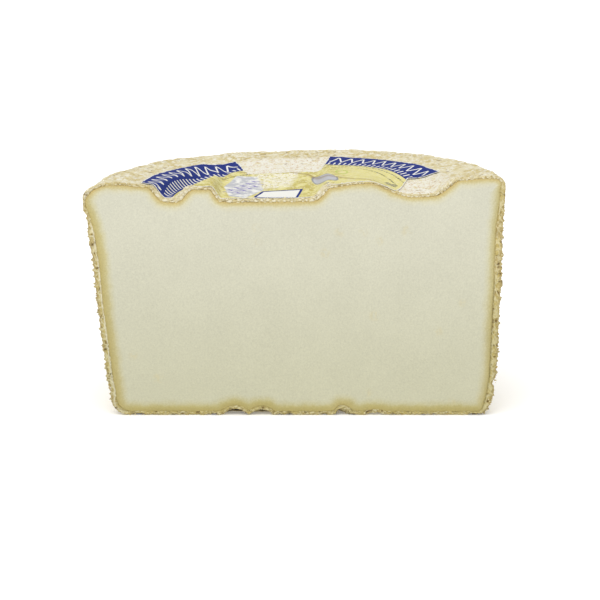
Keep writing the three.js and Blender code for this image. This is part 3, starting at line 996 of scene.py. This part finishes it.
def label_material(label, colours):
    """Printed paper in wheel-plan millimetres: blue bands and plain shapes on yellow."""
    finish = Finish("label_paper")
    in_mm = finish.vector("MULTIPLY", finish.place, (1 / MM, 1 / MM, 0))
    plan = finish.vector("ADD", in_mm, (-AXIS_X, -CUT_Y, 0))
    parts = finish.add("ShaderNodeSeparateXYZ", {0: plan}).outputs
    radius = finish.vector("LENGTH", plan)
    angle = finish.math("ARCTAN2", parts["Y"], parts["X"])
    edge = finish.attribute("edge")

    def oval(centre, half, turn):
        """Distance from the centre as a share of the half sizes."""
        inputs = {"Vector": plan, "Location": (*centre, 0), "Scale": (*half, 1)}
        inputs["Rotation"] = (0, 0, np.radians(turn))
        local = finish.add("ShaderNodeMapping", inputs, vector_type="TEXTURE").outputs[0]
        return finish.vector("LENGTH", local)

    def along(direction, origin):
        """Millimetres from the origin along a direction in the plan."""
        start = direction[0] * origin[0] + direction[1] * origin[1]
        return finish.minus(finish.vector("DOT_PRODUCT", plan, (*direction, 0)), start)

    def polygon(corners):
        """Depth inside a polygon with no inward corners that runs anticlockwise."""
        inside = None
        for (ax, ay), (bx, by) in zip(corners, corners[1:] + corners[:1]):
            length = float(np.hypot(bx - ax, by - ay))
            away = along(((ay - by) / length, (bx - ax) / length), (ax, ay))
            inside = away if inside is None else finish.math("MINIMUM", inside, away)
        return inside

    def wave(at_radius, pitch):
        """Triangle wave from 0 to 0.5 along an arc."""
        return finish.math("PINGPONG", finish.times(angle, at_radius / pitch), 0.5)

    # White zigzag and bars on the blue bands
    band = finish.between(radius, label.band_inner / MM, label.band_outer / MM)
    rise = finish.ease(radius, 76.0, 84.8, 0.0, 0.5, "LINEAR")
    zigzag = finish.math("ABSOLUTE", finish.minus(wave(80, 7.4), rise))
    zigzag = finish.times(finish.below(zigzag, 0.072), finish.between(radius, 76.2, 84.6))
    bars = finish.times(finish.above(wave(73, 3.3), 0.34), finish.between(radius, 70.3, 74.6))
    white = finish.times(band, finish.math("MAXIMUM", zigzag, bars), finish.above(edge, 2.0))
    white = finish.times(white, finish.ease(finish.noise(1.4), 0.3, 0.45, 0.75, 1.0))
    # Dashed lines inside the bands
    outer = finish.times(finish.between(radius, 65.6, 66.8), finish.between(parts["X"], 15, 70))
    lines = finish.math("MAXIMUM", finish.between(radius, 60.0, 61.2), outer)
    lines = finish.times(finish.above(wave(64, 2.3), 0.13), lines, finish.above(parts["Y"], 18))
    lines = finish.times(lines, finish.ease(finish.noise(4), 0.35, 0.55, 0.15, 0.85))
    # Lilac field with a wavy stroke
    cloudy = finish.patches(4, 3, 0.6, 0.4, 0.62)
    cloudy = finish.mix(cloudy, colours.label_lilac, colours.label_white)
    run, across = along(SLANT, STROKE_MIDDLE), along((-SLANT[1], SLANT[0]), STROKE_MIDDLE)
    sway = finish.times(finish.math("SINE", finish.times(run, 1.15)), 4.2)
    stroke = finish.below(finish.math("ABSOLUTE", finish.minus(across, sway)), 1.5)
    stroke = finish.times(stroke, finish.between(run, -15, 15), 0.8)
    # White plaque and the small marks
    plaque = polygon(PLAQUE)
    stamp, ring = oval((17, 27.5), (4.6, 18.5), 20), oval((27, 38), (3.6, 9), 8)
    ticks = finish.above(wave(56, 2.1), 0.2)
    ticks = finish.times(finish.above(polygon(TICKS), 0.0), ticks, 0.85)
    # Floury bloom and mould worn over the print, painted shade along the crease and a pale torn
    # margin
    worn = finish.ease(polygon(WORN), -3.0, 2.0)
    bloom = finish.times(worn, finish.patches(2.0, 4, 0.7, 0.4, 0.54), 0.85)
    mould = finish.times(worn, finish.patches(1.1, 3, 0.7, 0.56, 0.66), 0.55)
    torn = finish.plus(finish.times(finish.noise(3, 3, 0.6), 2.0), -0.55)
    colour = finish.layers(
        colours.label_yellow,
        (finish.patches(6, 4, 0.7, 0.4, 0.58), colours.label_pale),
        (finish.ease(parts["X"], 18.0, 36.0, 0.0, 0.75), colours.label_pale),
        (finish.patches(2.2, 4, 0.75, 0.5, 0.62, 0.8), colours.label_cream),
        (band, colours.label_blue),
        (white, colours.label_white),
        (lines, colours.label_grey),
        (finish.ease(polygon(LILAC_FIELD), 0.0, 1.2), cloudy),
        (stroke, colours.label_violet),
        (finish.above(plaque, 0.0), colours.label_blue),
        (finish.above(plaque, 1.5), colours.label_white),
        (finish.above(polygon(SHORT_BAR), 0.0), colours.label_blue),
        (finish.below(stamp, 1.0), colours.label_lilac),
        (finish.times(finish.between(stamp, 0.86, 1.0), 0.5), colours.label_grey),
        (finish.times(finish.between(ring, 0.72, 1.0), 0.55), colours.label_green),
        (ticks, colours.label_ink),
        (bloom, colours.rind_white),
        (mould, colours.rind_brown),
        # Painted shade along the crease
        (finish.times(finish.attribute("crease"), 0.6), colours.rind_brown),
        (finish.below(edge, torn), colours.label_white),
    )
    finish.bump(finish.noise(1.6, 3, 0.6), 0.12)
    finish.put(finish.shader.inputs["Specular IOR Level"], 0.2)
    return finish.surface(colour, 0.62)


def round_bits(centres, sizes, turns, bits):
    """Torn bits as one mesh.

    Each is an icosahedron with its corners moved in or out, stretched, turned and placed.
    """
    golden = (1 + 5**0.5) / 2
    corner = np.array([(0, 1, golden), (0, -1, golden), (0, 1, -golden), (0, -1, -golden)])
    unit = np.concatenate([np.roll(corner, n, 1) for n in range(3)])
    unit = unit / np.linalg.norm(unit, axis=1, keepdims=True)
    gaps = np.linalg.norm(unit[:, None] - unit[None], axis=2)
    near = (gaps > 0.1) & (gaps < 1.2)
    threes = np.argwhere(near[:, :, None] & near[None] & near[:, None, :])
    faces = threes[(threes[:, 0] < threes[:, 1]) & (threes[:, 1] < threes[:, 2])]
    first, second, third = unit[faces].transpose(1, 0, 2)
    inward = (first * np.cross(second - first, third - first)).sum(1) < 0
    faces[inward] = faces[inward][:, ::-1]
    sines, cosines = np.sin(turns), np.cos(turns)
    shaped = unit[None] * sizes[:, None, :] * bits[:, :, None]
    for axis in range(3):
        p, q = (axis + 1) % 3, (axis + 2) % 3
        first, second = shaped[..., p].copy(), shaped[..., q].copy()
        c, s = cosines[:, axis, None], sines[:, axis, None]
        shaped[..., p], shaped[..., q] = first * c - second * s, first * s + second * c
    points = (shaped + centres[:, None, :]).reshape(-1, 3)
    offset = np.arange(len(centres))[:, None, None] * len(unit)
    return points, (faces[None] + offset).reshape(-1, 3)


CRUMB_SEED = 11
CRUMB_SHADES = [
    (0, 130, 106, 66),
    (0.2, 172, 148, 92),
    (0.5, 200, 180, 122),
    (0.8, 220, 208, 166),
    (1, 230, 222, 192),
]


def crumb_material():
    """Loose crumbs: each one's shade is its own."""
    finish = Finish("crumbs")
    finish.bump(finish.noise(0.7, 3, 0.6), 0.2)
    return finish.surface(finish.ramp(finish.attribute("shade"), CRUMB_SHADES), 0.8)


class HALFWHEEL_OT_crumbs(bpy.types.Operator):
    """Make the torn bits that stand along the edge of the cut"""

    bl_idname = "halfwheel.crumbs"
    bl_label = "Crumbs"

    def execute(self, context):
        wheel = context.scene.half_wheel
        rng = np.random.default_rng(CRUMB_SEED)
        outline = CutOutline(wheel, EDGE_SPACING)
        pick = rng.choice(len(outline.arc), wheel.crumb_count)
        count, outward = len(pick), outline.normal[pick]
        top, base = outward[:, 1] > 0.55, outward[:, 1] < -0.7
        size = wheel.crumb_size / MM * rng.lognormal(0, 0.35, count)
        size = np.where(base, 0.8, 1) * np.clip(size, 0.25, 1.3)
        inward = np.clip(rng.exponential(0.7, count) - 0.15, -0.1, outline.width[pick])
        back = size * 0.8 + rng.uniform(0.05, 1.3, count)
        x, z = (outline.points[pick] - outward * inward[:, None]).T
        centre = np.stack([x, back, np.maximum(z, size * 0.8)], 1)
        shape = size[:, None] * rng.uniform(0.55, 1.0, (count, 3))
        turns = rng.uniform(0, np.pi, (count, 3))
        points, faces = round_bits(centre, shape, turns, rng.uniform(0.55, 1.2, (count, 12)))
        shade = np.clip(rng.normal(0.5, 0.2, count) + 0.3 * top - 0.12 * base, 0, 1)
        attributes = {"shade": np.repeat(shade, 12)}
        material = crumb_material()
        make_piece("edge_crumbs", points, faces.tolist(), material, attributes)
        return {"FINISHED"}


class HALFWHEEL_OT_stage(bpy.types.Operator):
    """Make the pale floor, the soft lights and the camera"""

    bl_idname = "halfwheel.stage"
    bl_label = "Stage"

    def execute(self, context):
        scene = context.scene
        stage = scene.half_wheel_stage
        mesh = bpy.data.meshes.new("floor")
        corners = [(-1, -1), (1, -1), (1, 1), (-1, 1)]
        mesh.from_pydata([(x * HALF_FLOOR, y * HALF_FLOOR, 0) for x, y in corners], [], [range(4)])
        finish = Finish("floor")
        mesh.materials.append(finish.surface(paint(*FLOOR), 0.9))
        finish.put(finish.shader.inputs["Specular IOR Level"], 0.0)
        finish.put(finish.shader.inputs["Emission Color"], WHITE)
        finish.put(finish.shader.inputs["Emission Strength"], stage.floor_glow)
        add_object("floor", mesh)
        scene.world = bpy.data.worlds.new("studio")
        scene.world.use_nodes = True
        surroundings = scene.world.node_tree.nodes["Background"].inputs
        surroundings["Color"].default_value = WHITE
        surroundings["Strength"].default_value = stage.world_light
        scene.view_settings.view_transform = "Standard"
        lamp = bpy.data.lights.new("sun", "SUN")
        lamp.energy, lamp.angle = stage.sun, np.radians(SUN_ANGLE)
        towards = Vector(SUN_TOWARDS)
        add_object("sun", lamp).rotation_euler = towards.to_track_quat("-Z", "Y").to_euler()
        lens = bpy.data.cameras.new("camera")
        lens.sensor_width, lens.lens = SENSOR, LENS
        camera = add_object("camera", lens)
        elevation = np.radians(ELEVATION)
        back = Vector((0, -np.cos(elevation), np.sin(elevation)))
        camera.location = Vector((AIM[0] + AXIS_X, CUT_Y, AIM[1])) * MM + back * DISTANCE
        camera.rotation_euler = (-back).to_track_quat("-Z", "Y").to_euler()
        scene.camera = camera
        return {"FINISHED"}


# Colours as (description, red, green, blue) in screen values
COLOURS = {
    # Paste colours with painted light at the top and painted shade at the base
    "paste_top": ("Cut paste near the top", 213, 211, 191),
    "paste_foot": ("Cut paste near the base", 197, 195, 168),
    "rind_tan": ("Darker rind", 184, 163, 104),
    "rind_gold": ("Usual rind", 208, 190, 130),
    "rind_cream": ("Pale rind", 229, 219, 180),
    "rind_white": ("Floury bloom", 242, 239, 226),
    "rind_rust": ("Orange grains in the bloom", 202, 164, 110),
    # Real brown specks and mould, and painted shade in grooves, pits and creases
    "rind_brown": ("Specks and grooves", 138, 110, 66),
    # Painted shade for the hollows under the base and the gaps over the floor
    "rind_void": ("Dark hollows at the base", 58, 46, 34),
    "section_gold": ("Cells of the rind in section", 202, 183, 112),
    # Pale ridges on the sides, and painted highlights on the beads of the base
    "section_pale": ("Ridges of the rind in section", 226, 216, 172),
    # The cream lip along the top, with painted highlights on its beads
    "section_lip": ("Rind in section along the top", 234, 226, 198),
    # The line between rind and paste, also used as painted shade at the foot of the bands
    "section_line": ("Line between rind and paste", 144, 131, 78),
    "label_yellow": ("Printed yellow", 192, 178, 96),
    "label_pale": ("Worn yellow", 223, 215, 144),
    "label_cream": ("Rubbed yellow", 228, 221, 182),
    "label_white": ("Bare paper", 236, 235, 228),
    "label_blue": ("Printed bands", 24, 44, 122),
    "label_grey": ("Fine dashes", 92, 92, 80),
    "label_ink": ("Dark marks", 50, 54, 84),
    "label_lilac": ("Stamped field", 188, 189, 194),
    "label_violet": ("Wavy strokes", 110, 96, 176),
    "label_green": ("Small ring", 170, 192, 70),
}


class WheelSettings(bpy.types.PropertyGroup):
    radius: FloatProperty(
        name="Radius", description="Radius at the shoulder", default=0.1185, unit="LENGTH"
    )
    height: FloatProperty(
        name="Height", description="Height at the axis", default=0.138, unit="LENGTH"
    )
    crag_depth: FloatProperty(
        name="Crag depth", description="Strength of the fine relief", default=1.0, min=0, max=2
    )
    crumb_count: IntProperty(
        name="Crumbs", description="Torn bits along the cut", default=620, min=1, max=4000
    )
    crumb_size: FloatProperty(
        name="Crumb size", description="Usual radius of a bit", default=0.00055, unit="LENGTH"
    )


class LabelSettings(bpy.types.PropertyGroup):
    radius: FloatProperty(
        name="Radius", description="Radius of the paper", default=0.0875, unit="LENGTH"
    )
    band_inner: FloatProperty(
        name="Band inside", description="Inside of the bands", default=0.0692, unit="LENGTH"
    )
    band_outer: FloatProperty(
        name="Band outside", description="Outside of the bands", default=0.0876, unit="LENGTH"
    )
    paper: FloatProperty(
        name="Paper", description="Thickness of the paper", default=0.00022, unit="LENGTH"
    )


class ColourSettings(bpy.types.PropertyGroup):
    __annotations__ = {
        key: FloatVectorProperty(
            name=key.replace("_", " ").capitalize(),
            description=description,
            subtype="COLOR",
            size=4,
            min=0,
            max=1,
            default=paint(*shade),
        )
        for key, (description, *shade) in COLOURS.items()
    }


class StageSettings(bpy.types.PropertyGroup):
    floor_glow: FloatProperty(
        name="Floor glow", description="Light the floor gives off", default=0.16, min=0
    )
    world_light: FloatProperty(
        name="World light", description="Strength of the surroundings", default=0.66, min=0
    )
    sun: FloatProperty(name="Sun", description="Soft light from the front", default=1.5)


OPERATORS = (
    HALFWHEEL_OT_rind,
    HALFWHEEL_OT_cut_face,
    HALFWHEEL_OT_edge,
    HALFWHEEL_OT_crumbs,
    HALFWHEEL_OT_label,
    HALFWHEEL_OT_stage,
)
SETTINGS = {
    "half_wheel": WheelSettings,
    "half_wheel_label": LabelSettings,
    "half_wheel_colours": ColourSettings,
    "half_wheel_stage": StageSettings,
}


class HALFWHEEL_PT_panel(bpy.types.Panel):
    bl_label = "Half wheel of cheese"
    bl_space_type = "VIEW_3D"
    bl_region_type = "UI"
    bl_category = "Cheese"

    def draw(self, context):
        for name, group in SETTINGS.items():
            box = self.layout.box()
            for key in group.__annotations__:
                box.prop(getattr(context.scene, name), key)
        for operator in OPERATORS:
            self.layout.operator(operator.bl_idname)


CLASSES = (*SETTINGS.values(), *OPERATORS, HALFWHEEL_PT_panel)


def register():
    for item in CLASSES:
        bpy.utils.register_class(item)
    for name, group in SETTINGS.items():
        setattr(bpy.types.Scene, name, PointerProperty(type=group))


def unregister():
    for name in SETTINGS:
        delattr(bpy.types.Scene, name)
    for item in reversed(CLASSES):
        bpy.utils.unregister_class(item)


def main():
    register()
    bpy.ops.halfwheel.rind()
    bpy.ops.halfwheel.cut_face()
    bpy.ops.halfwheel.edge()
    bpy.ops.halfwheel.crumbs()
    bpy.ops.halfwheel.label()
    bpy.ops.halfwheel.stage()


if __name__ == "__main__":
    main()
